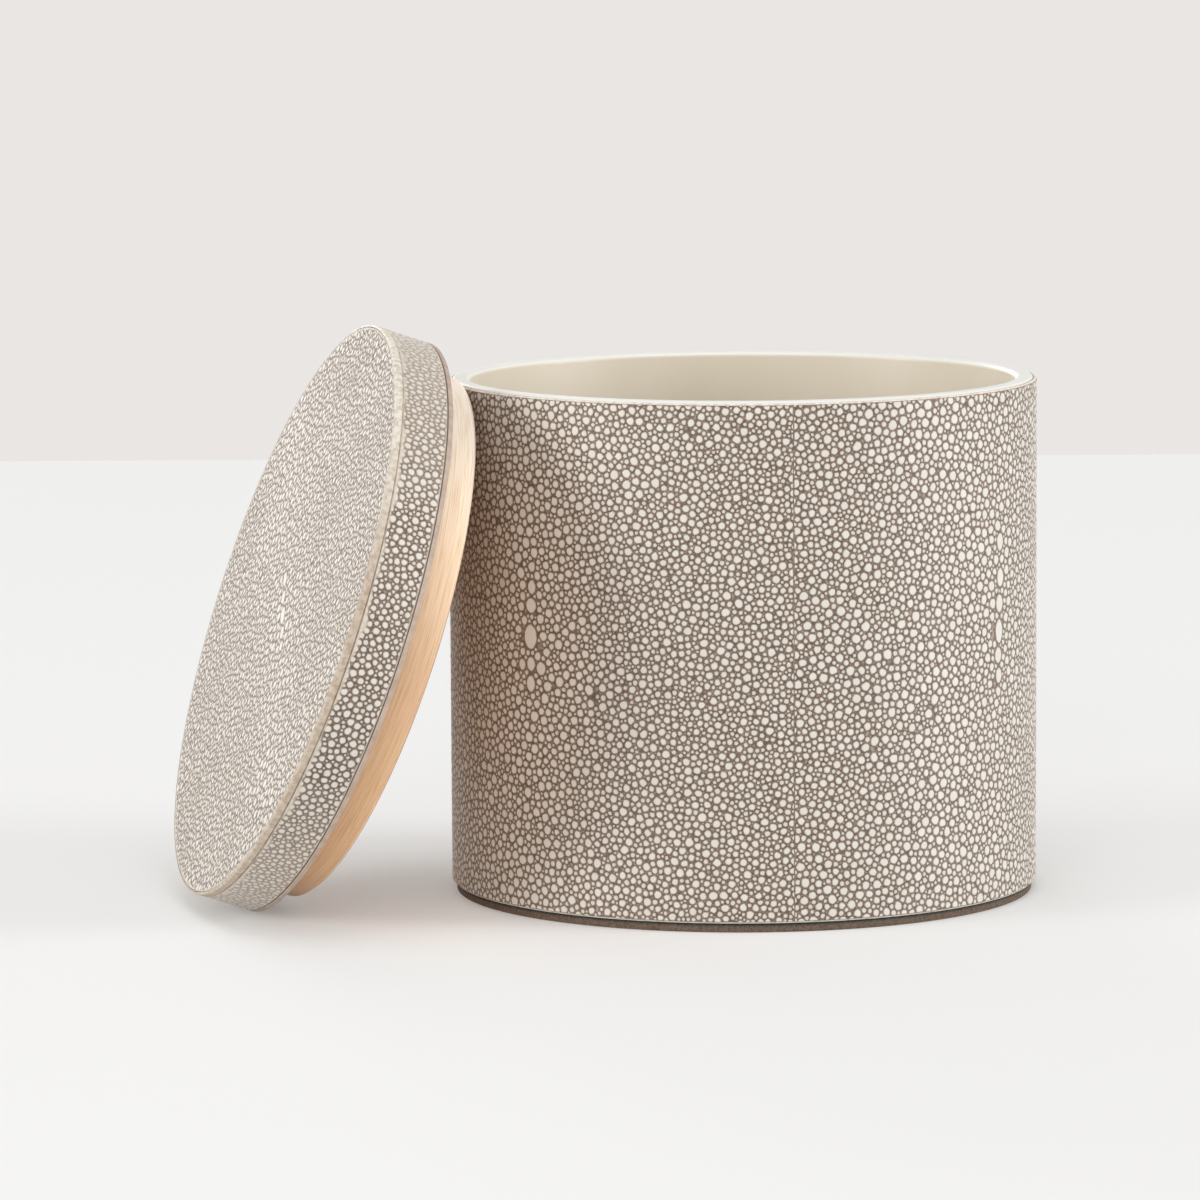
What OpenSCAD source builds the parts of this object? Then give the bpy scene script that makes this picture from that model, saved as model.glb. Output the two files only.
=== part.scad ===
/* [Canister] */
// Outer diameter over the leather
body_d = 120; // [90:1:160]
// Height from the surface it stands on to the top of the rim
body_h = 105.2; // [70:0.1:140]
// Thickness of the wall, leather included
wall_t = 4.4; // [4:0.1:10]
// Height of the rim above the top edge of the leather
rim_proud = 0.4; // [0.2:0.1:2]
// Radius of the rim's outer top edge
rim_outer_round = 0.6; // [0.2:0.1:1]
// Radius of the rim's inner top edge
rim_inner_round = 1; // [0.3:0.1:1.5]

/* [Floor and base] */
// Thickness of the floor board
floor_t = 5; // [3:0.5:10]
// Width of the shoulder in the tube that the floor board is pushed up against
floor_shoulder = 1.6; // [0.6:0.1:1.8]
// Radial room round the floor board for glue
floor_clearance = 0.1; // [0.05:0.05:0.3]
// Thickness of the felt pad under the canister
pad_t = 1.9; // [0.5:0.1:3]
// How far the pad's edge stands in from the leather
pad_inset = 1; // [0.2:0.1:4]

/* [Leather] */
// Thickness of the shagreen, beads included
leather_t = 0.8; // [0.5:0.1:1.5]
// Room between the leather and what it is glued to
glue_gap = 0.05; // [0.02:0.01:0.1]
// Width of each butt seam
seam_gap = 0.3; // [0.1:0.05:1]
// Angle that one full panel covers
panel_angle = 103.4; // [91:0.1:118]
// Direction of the seam at the front, counted from +X towards +Y
front_seam = 278.4; // [0:0.1:359.9]

/* [Lid] */
// How far the lid's band stands out from the canister's leather
lid_overhang = 0; // [0:0.1:2]
// Thickness of the part of the lid that covers the rim
lid_t = 12.3; // [8:0.1:25]
// Length of the plug below that
plug_l = 7.2; // [4:0.1:15]
// Radial room between the plug and the bore
plug_clearance = 0.8; // [0.3:0.1:2]
// Chamfer round the plug's end
plug_chamfer = 0.6; // [0.2:0.1:2]
// Height of the bare painted edge above the band
lid_edge = 1.5; // [1:0.1:3]
// Width of the bare painted edge round the top disc
lid_rim = 0.6; // [0.5:0.1:3]
// Radius of the lid's top edge
lid_edge_round = 0.5; // [0.2:0.1:0.5]
// Thickness of the lining ring under the lid
lining_t = 1; // [0.5:0.1:2]
// Direction of the band's seam on the lid, counted from the side that lies lowest
band_seam = 250; // [0:1:359]

/* [Leaning lid] */
// How far the lid tips from upright
lean = 19.2; // [10:0.1:35]
// Direction in which the lid leans off the canister, counted from +X towards +Y
lean_side = 194.3; // [180:0.1:270]
// Room between the lid and the edge that it leans on
lean_gap = 0.3; // [0.1:0.1:1]

/* [Hidden] */
$fn = 128;

body_r = body_d / 2;
bore_r = body_r - wall_t;
tube_r = body_r - leather_t - glue_gap;
pad_top = pad_t;
floor_top = pad_top + floor_t;
leather_top = body_h - rim_proud;
seam_angle = seam_gap / body_r * 180 / PI;

lid_r = body_r + lid_overhang;
plug_r = bore_r - plug_clearance;
board_r = lid_r - leather_t - glue_gap;
band_top = lid_t - lid_edge;
disc_r = lid_r - lid_rim;
disc_bed = lid_t - leather_t - glue_gap;
band_seam_angle = seam_gap / lid_r * 180 / PI;

// The lid stands on the lower edge of its lining ring, or on its plug if that reaches lower
lean_z = max(lid_r * cos(lean), plug_r * cos(lean) + plug_l * sin(lean));
// How far up its face the lid meets the canister's top edge, or its own edge meets the wall
plug_reach = min(plug_r, (leather_top - lean_z + plug_l * sin(lean)) / cos(lean));
band_reach = min(lid_r, (leather_top - lean_z) / cos(lean));
lean_r = body_r + lean_gap
  + max(plug_reach * sin(lean) + plug_l * cos(lean), band_reach * sin(lean));

leather_colour = [0.80, 0.76, 0.70];
ivory = [0.93, 0.91, 0.86];
felt_colour = [0.17, 0.20, 0.20];
edge_colour = [0.80, 0.76, 0.71];
lining_colour = [0.72, 0.67, 0.62];
birch = [0.90, 0.80, 0.65];

// Quarter of a disc with its corner at the centre, which lies at x, z
module quarter(x, z, r, side) {
  if (r > 0)
    intersection() {
      translate([x, z]) circle(r = r);
      translate([side < 0 ? x - r : x, z]) square(r);
    }
}

// Half section of a ring, from radius r0 to r1 and height z0 to z1, with rounded top edges
module ring_section(r0, r1, z0, z1, round_in, round_out) {
  width = r1 - r0;
  height = z1 - z0;
  translate([r0, z0]) square([width - round_out, height - round_in]);
  translate([r0 + round_in, z0]) square([width - round_in, height - round_out]);
  translate([r0 + round_in, z0]) square([width - round_in - round_out, height]);
  quarter(r0 + round_in, z1 - round_in, round_in, -1);
  quarter(r1 - round_out, z1 - round_out, round_out, 1);
}

// Flat ring, from radius r0 to r1 and height z0 to z1
module ring(r0, r1, z0, z1) {
  difference() {
    translate([0, 0, z0]) cylinder(r = r1, h = z1 - z0);
    translate([0, 0, z0 - 1]) cylinder(r = r0, h = z1 - z0 + 2);
  }
}

// Stretch of a leather wrap that starts at a seam and ends at the next one
module wrap(r1, z0, z1, start, sweep, gap) {
  rotate([0, 0, start + gap / 2])
    rotate_extrude(angle = sweep - gap)
      translate([r1 - leather_t, z0]) square([leather_t, z1 - z0]);
}

// Moves a piece from the lid's own frame, top face up, to where the lid leans
module leaning() {
  rotate([0, 0, lean_side])
    translate([lean_r, 0, lean_z])
      rotate([0, 90 - lean, 0])
        children();
}

module wall_tube() {
  color(ivory)
    difference() {
      rotate_extrude()
        ring_section(bore_r, tube_r, pad_top, body_h, rim_inner_round, rim_outer_round);
      translate([0, 0, pad_top - 1]) cylinder(r = bore_r + floor_shoulder, h = floor_t + 1);
    }
}

module floor_board() {
  color(ivory)
    translate([0, 0, pad_top])
      cylinder(r = bore_r + floor_shoulder - floor_clearance, h = floor_t);
}

module base_pad() {
  color(felt_colour) cylinder(r = body_r - pad_inset, h = pad_t);
}

module side_panel(start, sweep) {
  color(leather_colour) wrap(body_r, pad_top, leather_top, start, sweep, seam_angle);
}

module leather_front_right() {
  side_panel(front_seam, panel_angle);
}

module leather_back_right() {
  side_panel(front_seam + panel_angle, panel_angle);
}

module leather_back_left() {
  side_panel(front_seam + 2 * panel_angle, 360 - 3 * panel_angle);
}

module leather_front_left() {
  side_panel(front_seam - panel_angle, panel_angle);
}

module lid_board() {
  color(edge_colour)
    leaning()
      difference() {
        union() {
          translate([0, 0, lining_t]) cylinder(r = board_r, h = band_top - lining_t);
          rotate_extrude()
            ring_section(0, lid_r, band_top, lid_t, 0, lid_edge_round);
        }
        translate([0, 0, disc_bed]) cylinder(r = disc_r, h = leather_t + 1);
      }
}

module lid_top_leather() {
  color(leather_colour)
    leaning()
      translate([0, 0, lid_t - leather_t]) cylinder(r = disc_r - glue_gap, h = leather_t);
}

module lid_band_leather() {
  color(leather_colour)
    leaning()
      wrap(lid_r, lining_t, band_top, band_seam, 360, band_seam_angle);
}

module lid_lining_ring() {
  color(lining_colour) leaning() ring(plug_r + glue_gap, lid_r, 0, lining_t);
}

module lid_plug() {
  color(birch)
    leaning()
      union() {
        translate([0, 0, plug_chamfer - plug_l])
          cylinder(r = plug_r, h = plug_l - plug_chamfer + lining_t);
        translate([0, 0, -plug_l])
          cylinder(r1 = plug_r - plug_chamfer, r2 = plug_r, h = plug_chamfer);
      }
}

wall_tube();
floor_board();
base_pad();
leather_front_right();
leather_back_right();
leather_back_left();
leather_front_left();
lid_board();
lid_top_leather();
lid_band_leather();
lid_lining_ring();
lid_plug();
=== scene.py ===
import math

import bpy
import numpy as np
from mathutils import Matrix, Vector
from mathutils.geometry import delaunay_2d_cdt


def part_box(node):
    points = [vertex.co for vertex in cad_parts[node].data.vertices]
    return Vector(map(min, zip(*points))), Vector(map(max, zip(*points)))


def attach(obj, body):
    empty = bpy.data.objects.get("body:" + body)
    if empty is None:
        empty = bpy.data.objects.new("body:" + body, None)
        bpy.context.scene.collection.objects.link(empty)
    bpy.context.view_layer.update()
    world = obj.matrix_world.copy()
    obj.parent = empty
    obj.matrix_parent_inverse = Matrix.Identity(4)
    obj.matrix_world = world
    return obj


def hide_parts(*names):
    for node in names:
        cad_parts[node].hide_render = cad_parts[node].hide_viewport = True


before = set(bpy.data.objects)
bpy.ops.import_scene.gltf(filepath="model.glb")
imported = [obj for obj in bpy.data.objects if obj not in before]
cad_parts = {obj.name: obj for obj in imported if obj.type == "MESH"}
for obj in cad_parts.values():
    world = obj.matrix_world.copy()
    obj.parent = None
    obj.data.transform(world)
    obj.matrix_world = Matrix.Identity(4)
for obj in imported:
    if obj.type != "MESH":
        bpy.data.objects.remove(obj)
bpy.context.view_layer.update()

# Sizes are in millimetres unless a name says otherwise, and become metres in a mesh
MM = 0.001

# The turned pieces
BORE_R = 55.6
RIM_OUTER_ROUND = 0.6
RIM_INNER_ROUND = 1.0
SHOULDER_R = 57.2
FLOOR_R = 57.1
PAD_R = 59.0
PLUG_R = 54.8
PLUG_CHAMFER = 0.6
GLUE_GAP = 0.05
LID_EDGE_ROUND = 0.5
LATHE_STEPS = 256
ARC_STEPS = 8
ARC_SUPPORT = 0.1

# Leather: its thickness, its cut edge, its seams, and the steps along its outline
LEATHER_T = 0.8
CUT_DEPTH = 0.5
CUT_EDGE = 0.28
SEAM_GAP = 0.3
SEAM_SEEN = 0.03
BAND_SEAM = math.radians(250)
STRIP_STEP = 1.5
DISC_STEP = 1.2
# How wide a strip at the disc's edge is painted over
DISC_WORN = 0.5

# Grout's depth under the leather's face, what it gains where wide, and its share where open
GROUT_DEPTH = 0.16
JUNCTION_DEPTH = 0.06
OPEN_DEPTH_SHARE = 0.9
# Depth of bead tops, what small ones gain and from what radius, their tilt, and what wear takes off
TOP_DEPTH = 0.02
SMALL_TOP_DEPTH = 0.1
SMALL_TOP_R = 0.6
TOP_TILT = 0.035
WORN_FLAT = 0.85

# Darts thrown for bead places, and how far past the leather's edge they land
DARTS_PER_MM2 = 7.0
EDGE_BAND = 1.3
# The gap between beads, its share that is kept in filling, and the widest circle that is filled
BEAD_GAP = 0.11
GAP_SLACK = 0.98
WIDEST_FILLED_R = 4
# Bead outlines: their mean reach, how oval and how lobed they are, and how much a pearl's tips draw in
OUTLINE_REACH = 0.97
OVAL = 0.035
LOBES = 0.02
PEARL_TIPS = 0.12
PEARL_SIDES = 22
ANY_TURN = 6.28
# How far an outline swells into free room, as a share of its radius, and room where no bead is near
BEAD_GROWTH = 0.32
FAR = 9.0
# How far in from the outline a bead's flat top starts, in millimetres and at most as a share
SLOPE = 0.3
SLOPE_SHARE = 0.4
# What has to show of a bead that the edge cuts, and how far outlines keep off the edge
LEAST_SHOWN = 0.3
OUTLINE_EDGE = 0.03
# How outlines that cross are drawn in, and how often
DRAW_IN = 0.94
DRAW_IN_TRIES = 10

# Bead sizes and the room between beads vary by these shares, least and most
SIZE_SPREAD = (0.84, 1.13)
ROOM_SPREAD = (0.6, 1.6)
FILL_SPREAD = (0.5, 0.8)
# Rounds of filling gaps: the least bead radius, and the share of gaps that get one
GAP_ROUNDS = ((0.46, 0.97), (0.37, 0.95), (0.29, 0.7))
# Bead radius from which a bead gets so many sides
SIDES = ((1.15, 12), (0.7, 9), (0.5, 8), (0.34, 6))
FEWEST_SIDES = 5
# Open grout: its least and widest radius, and how clear its middle lies of beads, others and the edge
OPEN_R = 0.25
OPEN_WIDEST = 3
OPEN_CLEAR = 0.24
OPEN_APART = 0.2
OPEN_EDGE = 0.4

# Relief that the leather's material reads: -1 in open grout, 1 on a bead's top
EDGE_RELIEF = 0.45
OUTLINE_RELIEF = 0.28
WIDE_RELIEF_DROP = 0.16
# Extra width at which grout is wide, and below what radius and over what range a bead counts as small
WIDE_GROUT = 0.4
SMALL_FROM = 0.7
SMALL_RANGE = 0.4

# The leather's map: its front takes the lower part, and its edges and back take rows above
MAP_FRONT = 0.95
MAP_ROWS = 0.955
MAP_ROW_STEP = 0.0062
MAP_ROW_HEIGHT = 0.004
DISC_BACK_ROWS = 6

# A panel's spine, in degrees from its left seam
SPINE_ANGLE = 49.3
# A panel's pearls: across from the spine, height, width, length
FRONT_LEFT_PEARLS = (
    (0.0, 66.9, 2.3, 3.1),
    (-0.2, 63.2, 3.1, 3.2),
    (-0.4, 56.9, 3.7, 5.2),
    (-0.3, 51.5, 2.5, 3.1),
    (-2.9, 51.2, 2.1, 2.6),
    (2.5, 50.8, 2.7, 2.9),
    (-0.4, 47.5, 2.6, 3.5),
)
FRONT_RIGHT_PEARLS = (
    (0.2, 74.3, 2.6, 3.9),
    (0.3, 67.1, 2.7, 4.1),
    (0.0, 61.9, 2.8, 3.9),
    (-0.2, 56.3, 2.8, 5.2),
    (-0.5, 51.5, 2.7, 3.5),
    (-0.3, 47.4, 2.5, 3.4),
)
BACK_RIGHT_PEARLS = (
    (0.1, 70.4, 2.5, 3.2),
    (-0.1, 65.3, 2.8, 3.6),
    (0.0, 58.1, 3.4, 5.1),
    (0.3, 52.9, 2.6, 3.2),
    (0.1, 48.3, 2.4, 3.4),
)
# Grout left open beside the main pearls: across from the spine, height, radius
FRONT_LEFT_OPEN = ((2.1, 55.1, 0.7), (-2.6, 56.3, 0.6))
FRONT_RIGHT_OPEN = ((-2.3, 55.8, 0.9), (-2.2, 57.5, 0.6))
# Each panel's node, pearls, open grout and seed
PANELS = (
    ("leather_front_left", FRONT_LEFT_PEARLS, FRONT_LEFT_OPEN, 11),
    ("leather_front_right", FRONT_RIGHT_PEARLS, FRONT_RIGHT_OPEN, 12),
    ("leather_back_right", BACK_RIGHT_PEARLS, (), 13),
    ("leather_back_left", (), (), 14),
)
DISC_SEED = 21
BAND_SEED = 31

# The spine across the lid's disc: its turn from the steepest line, and its distance from the middle
LID_SPINE_TURN = math.radians(50)
LID_SPINE_ASIDE = 0.5
# The disc's pearls: across from the spine, along it from the middle, width, length
LID_PEARLS = (
    (0.1, -7.9, 2.1, 4.3),
    (-0.3, -3.0, 2.3, 3.9),
    (0.0, 2.5, 2.5, 5.0),
    (0.2, 7.6, 2.2, 3.6),
    (0.1, 11.3, 2.0, 3.0),
)

# Camera and backdrop, in metres and radians
CAMERA_AT = (-0.029295, -1.41804, 0.23126)
CAMERA_PITCH = 0.12078
CAMERA_ROLL = -0.0059
CAMERA_LENS_MM = 209.29
FLOOR_REACH = 6.0
FLOOR_BACK = 0.878
WORLD_LIGHT = 0.55
FLOOR_GLOW = 0.22
AIM = (-0.02, 0, 0.05)
# Square lamps: name, place, side, watts, colour
LAMPS = (
    ("right", (4.3, -0.9, 1.05), 1.9, 110, (1, 1, 0.995)),
    ("left", (-4.1, -1.6, 1.05), 1.9, 96, (1, 1, 0.995)),
    ("front", (-1.0, -4.2, 1.3), 1.9, 37, (1, 0.985, 0.96)),
    ("top", (0.1, -0.9, 3.6), 2.2, 26, (1, 1, 1)),
    ("back", (-1.4, 4.1, 1.05), 1.9, 45, (1, 1, 0.995)),
)


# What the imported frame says

def vertices_of(node):
    """A CAD node's vertices at rest, in millimetres."""
    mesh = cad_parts[node].data
    co = np.empty(len(mesh.vertices) * 3)
    mesh.vertices.foreach_get("co", co)
    return co.reshape(-1, 3) / MM


def centre_of(node):
    low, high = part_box(node)
    return (low + high) / 2


def height_of(node):
    """Lowest and highest point of a node that stands upright."""
    low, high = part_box(node)
    return low.z / MM, high.z / MM


def radius_of(points):
    return float(np.hypot(points[:, 0], points[:, 1]).max())


def facing(node):
    """Which way a flat piece faces, upwards: the direction of its largest face."""
    face = max(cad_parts[node].data.polygons, key=lambda polygon: polygon.area)
    return face.normal.copy() if face.normal.z > 0 else -face.normal


def stretch_round(points):
    """Where a panel starts round the canister, and how far it goes, in radians."""
    turn = np.sort(np.arctan2(points[:, 1], points[:, 0]))
    gaps = np.diff(np.append(turn, turn[0] + 2 * math.pi))
    widest = int(gaps.argmax())
    return float(turn[(widest + 1) % len(turn)]), 2 * math.pi - float(gaps[widest])


def lid_place():
    """The lid's own frame: its middle under the lining, Z out of its top, X down its steepest line."""
    out = facing("lid_top_leather")
    down = (Vector((0, 0, -1)) + out * out.z).normalized()
    turn = Matrix((down, out.cross(down), out)).transposed()
    lining = vertices_of("lid_lining_ring") @ np.array(out)
    foot = centre_of("lid_lining_ring") - out * float(np.ptp(lining)) / 2 * MM
    return Matrix.Translation(foot) @ turn.to_4x4()


def on_lid(node):
    """A lid node's vertices in the lid's own frame, in millimetres."""
    back = np.array(LID.inverted())
    return vertices_of(node) @ back[:3, :3].T + back[:3, 3] / MM


LID = lid_place()
BODY_R = radius_of(vertices_of("leather_front_right"))
TUBE_R = radius_of(vertices_of("wall_tube"))
LEATHER_FOOT, LEATHER_TOP = height_of("leather_front_right")
RIM_TOP = height_of("wall_tube")[1]
PAD_TOP = height_of("base_pad")[1]
FLOOR_TOP = height_of("floor_board")[1]
LINING_T = float(on_lid("lid_lining_ring")[:, 2].max())
PLUG_END = float(on_lid("lid_plug")[:, 2].min())
BAND_TOP = float(on_lid("lid_band_leather")[:, 2].max())
LID_TOP = float(on_lid("lid_top_leather")[:, 2].max())
DISC_R = radius_of(on_lid("lid_top_leather"))
DISC_BED = float(on_lid("lid_top_leather")[:, 2].min()) - GLUE_GAP


# Shapes of leather, laid flat

class Strip:
    """A straight stretch of leather, cut square: wide along U, and from low to high along V."""

    def __init__(self, wide, low, high):
        self.wide = wide
        self.low = low
        self.high = high
        self.sides = np.array([(1, 0, 0), (-1, 0, wide), (0, 1, -low), (0, -1, high)], float)

    def depth(self, p):
        """How far points lie inside the nearest side, and which way is inwards from there."""
        far = p[:, :1] * self.sides[:, 0] + p[:, 1:] * self.sides[:, 1] + self.sides[:, 2]
        side = far.argmin(1)
        return far[np.arange(len(p)), side], self.sides[side, :2]

    def darts(self, rng, per_mm2):
        count = int(self.wide * (self.high - self.low) * per_mm2)
        u = rng.uniform(-EDGE_BAND, self.wide + EDGE_BAND, count)
        v = rng.uniform(self.low - EDGE_BAND, self.high + EDGE_BAND, count)
        return np.stack([u, v], 1)

    def clamp(self, p, edge):
        u = np.clip(p[:, 0], edge, self.wide - edge)
        v = np.clip(p[:, 1], self.low + edge, self.high - edge)
        return np.stack([u, v], 1)

    def columns(self):
        return np.linspace(0, self.wide, int(self.wide / STRIP_STEP) + 1)

    def rungs(self):
        count = max(3, int((self.high - self.low) / STRIP_STEP))
        return np.linspace(self.low, self.high, count)[1:-1]

    def border(self):
        """The outline, once round: along the foot, up the far side, back along the top and down."""
        u = self.columns()
        v = self.rungs()
        foot = np.stack([u, np.full(len(u), self.low)], 1)
        far = np.stack([np.full(len(v), self.wide), v], 1)
        top = np.stack([u[::-1], np.full(len(u), self.high)], 1)
        near = np.stack([np.zeros(len(v)), v[::-1]], 1)
        return np.concatenate([foot, far, top, near])


class Disc:
    """A round piece of leather."""

    def __init__(self, radius):
        self.radius = radius

    def depth(self, p):
        far = np.hypot(p[:, 0], p[:, 1])
        return self.radius - far, -p / np.maximum(far, 1e-9)[:, None]

    def darts(self, rng, per_mm2):
        reach = self.radius + EDGE_BAND
        p = rng.uniform(-reach, reach, (int(4 * reach * reach * per_mm2), 2))
        return p[np.hypot(p[:, 0], p[:, 1]) < reach]

    def clamp(self, p, edge):
        far = np.hypot(p[:, 0], p[:, 1])
        return p * np.minimum(1, (self.radius - edge) / np.maximum(far, 1e-9))[:, None]

    def border(self):
        count = int(2 * math.pi * self.radius / DISC_STEP)
        turn = np.linspace(0, 2 * math.pi, count, endpoint=False)
        return self.radius * np.stack([np.cos(turn), np.sin(turn)], 1)


# Setting the beads

class Crowd:
    """Round beads that keep clear of each other, held in square cells."""

    CELL = 2.6

    def __init__(self):
        self.cells = {}
        self.beads = []

    def clear(self, x, y, r, gap):
        i = int(x // self.CELL)
        j = int(y // self.CELL)
        for a in (i - 1, i, i + 1):
            for b in (j - 1, j, j + 1):
                for u, v, s in self.cells.get((a, b), ()):
                    reach = r + s + gap
                    if (u - x) ** 2 + (v - y) ** 2 < reach * reach:
                        return False
        return True

    def add(self, x, y, r):
        cell = int(x // self.CELL), int(y // self.CELL)
        self.cells.setdefault(cell, []).append((x, y, r))
        self.beads.append((x, y, r))


def pearl_discs(across, along, width, length, turn):
    """Discs that fill an oval pearl, so that beads keep off its outline."""
    a = width / 2
    b = length / 2
    if b < 1.02 * a:
        return [(across, along, a)]
    discs = []
    for share in (-0.95, -0.5, 0, 0.5, 0.95):
        t = share * (b * b - a * a) / b
        r = a * math.sqrt(1 - t * t / (b * b - a * a))
        discs.append((across - t * math.sin(turn), along + t * math.cos(turn), r))
    return discs


def touching_circles(beads, gap):
    """For each three beads that lie next to each other, the circle that lies gap off all of them."""
    x, y, r = np.array(beads).T
    tri = np.array(delaunay_2d_cdt([Vector(p) for p in zip(x, y)], [], [], 0, 1e-6)[2])
    px, py, reach = x[tri], y[tri], r[tri] + gap
    square = px ** 2 + py ** 2
    m = 2 * np.stack([px[:, :1] - px[:, 1:], py[:, :1] - py[:, 1:]], 2)
    c = reach[:, 1:] ** 2 - reach[:, :1] ** 2 - square[:, 1:] + square[:, :1]
    d = 2 * (reach[:, 1:] - reach[:, :1])
    thin = np.abs(np.linalg.det(m)) < 1e-6
    m[thin] = np.eye(2)
    base = np.linalg.solve(m, c[..., None])[..., 0]
    slide = np.linalg.solve(m, d[..., None])[..., 0]
    away = base - np.stack([px[:, 0], py[:, 0]], 1)
    qa = (slide ** 2).sum(1) - 1
    qb = 2 * ((slide * away).sum(1) - reach[:, 0])
    qc = (away ** 2).sum(1) - reach[:, 0] ** 2
    below = np.sqrt(np.maximum(qb * qb - 4 * qa * qc, 0)) - qb
    radius = 2 * qc / np.where(np.abs(below) < 1e-9, 1e-9, below)
    radius[thin] = 0
    return base + radius[:, None] * slide, radius


def fill_gaps(crowd, shape, size_at, rng, least, share):
    """Sets beads into the gaps between the others, the widest gap first, and leaves some open."""
    centre, radius = touching_circles(crowd.beads, BEAD_GAP)
    keep = (radius > least) & (radius < WIDEST_FILLED_R) & (shape.depth(centre)[0] > -EDGE_BAND)
    centre, radius = centre[keep], radius[keep]
    wanted = size_at(centre[:, 0], centre[:, 1]) * rng.uniform(*FILL_SPREAD, len(centre))
    size = np.minimum(radius, wanted)
    filled = rng.random(len(centre)) < share
    for k in np.argsort(-radius, kind="stable"):
        x, y = centre[k].tolist()
        if filled[k] and crowd.clear(x, y, size[k], BEAD_GAP * GAP_SLACK):
            crowd.add(x, y, float(size[k]))


def set_beads(shape, size_at, room_at, pearls, open_spots, rng):
    """The beads on a piece of leather, and how many of the first stand for pearls and open grout."""
    crowd = Crowd()
    for pearl in pearls:
        for disc in pearl_discs(*pearl):
            crowd.add(*disc)
    for spot in open_spots:
        crowd.add(*spot)
    taken = len(crowd.beads)
    spots = shape.darts(rng, DARTS_PER_MM2)
    size = size_at(spots[:, 0], spots[:, 1]) * rng.uniform(*SIZE_SPREAD, len(spots))
    room = room_at(spots[:, 0], spots[:, 1]) * rng.uniform(*ROOM_SPREAD, len(spots))
    for (x, y), r, gap in zip(spots.tolist(), size.tolist(), room.tolist()):
        if crowd.clear(x, y, r, gap):
            crowd.add(x, y, r)
    for least, share in GAP_ROUNDS:
        fill_gaps(crowd, shape, size_at, rng, least, share)
    return crowd, taken


def open_middles(crowd, shape):
    """Middles of the wider stretches of grout."""
    centre, radius = touching_circles(crowd.beads, 0)
    keep = (radius > OPEN_R) & (radius < OPEN_WIDEST) & (shape.depth(centre)[0] > OPEN_EDGE)
    found = Crowd()
    for x, y in centre[keep].tolist():
        if crowd.clear(x, y, OPEN_CLEAR, 0) and found.clear(x, y, OPEN_R, OPEN_APART):
            found.add(x, y, OPEN_R)
    return np.array(found.beads).reshape(-1, 3)[:, :2]


def sides_for(radius):
    for least, sides in SIDES:
        if radius >= least:
            return sides
    return FEWEST_SIDES


def bead_outline(x, y, r, depth, inward, rng):
    """A bead's outline, a little out of round, and cut off where it passes the leather's edge."""
    n = sides_for(r)
    turn = np.arange(n) * 2 * math.pi / n + rng.uniform(0, ANY_TURN)
    if depth < r:
        opening = math.acos(max(-depth / r, -1))
        turn = np.linspace(-opening, opening, n) + math.atan2(inward[1], inward[0])
    oval, lobed = rng.uniform(0, ANY_TURN, 2)
    reach = r * (
        OUTLINE_REACH + OVAL * np.cos(2 * (turn - oval)) + LOBES * np.cos(3 * (turn - lobed))
    )
    return np.stack([x + reach * np.cos(turn), y + reach * np.sin(turn)], 1)


def pearl_outline(across, along, width, length, turn):
    """An oval pearl's outline, drawn in a little towards its tips."""
    t = np.arange(PEARL_SIDES) * 2 * math.pi / PEARL_SIDES
    u = width / 2 * np.cos(t) * (1 - PEARL_TIPS * np.sin(t) ** 2)
    v = length / 2 * np.sin(t)
    x = across + u * math.cos(turn) - v * math.sin(turn)
    y = along + u * math.sin(turn) + v * math.cos(turn)
    return np.stack([x, y], 1)


def free_room(points, owner, beads):
    """How far each outline point lies from the nearest bead other than its own."""
    x, y, r = np.array(beads).T
    cells = {}
    home = np.floor(np.stack([x, y], 1) / Crowd.CELL).astype(int)
    for k, key in enumerate(home.tolist()):
        cells.setdefault(tuple(key), []).append(k)
    home = np.floor(points / Crowd.CELL).astype(int)
    order = np.lexsort((home[:, 1], home[:, 0]))
    cuts = np.flatnonzero(np.any(np.diff(home[order], axis=0) != 0, axis=1)) + 1
    room = np.full(len(points), FAR)
    for group in np.split(order, cuts):
        i, j = home[group[0]].tolist()
        around = [(a, b) for a in (i - 1, i, i + 1) for b in (j - 1, j, j + 1)]
        near = [k for cell in around for k in cells.get(cell, ())]
        far = np.hypot(points[group, :1] - x[near], points[group, 1:] - y[near]) - r[near]
        far[owner[group][:, None] == np.array(near)[None, :]] = FAR
        room[group] = far.min(1)
    return room


# The relief of beads and grout

def patch(points, **values):
    """Points laid flat, and what each carries: depth, relief, tone, small and worn."""
    made = {"point": points}
    for key in ("depth", "relief", "tone", "small", "worn"):
        made[key] = np.broadcast_to(np.asarray(values.get(key, 0.0), float), len(points))
    return made


def joined(patches):
    return {key: np.concatenate([p[key] for p in patches]) for key in patches[0]}


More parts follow.
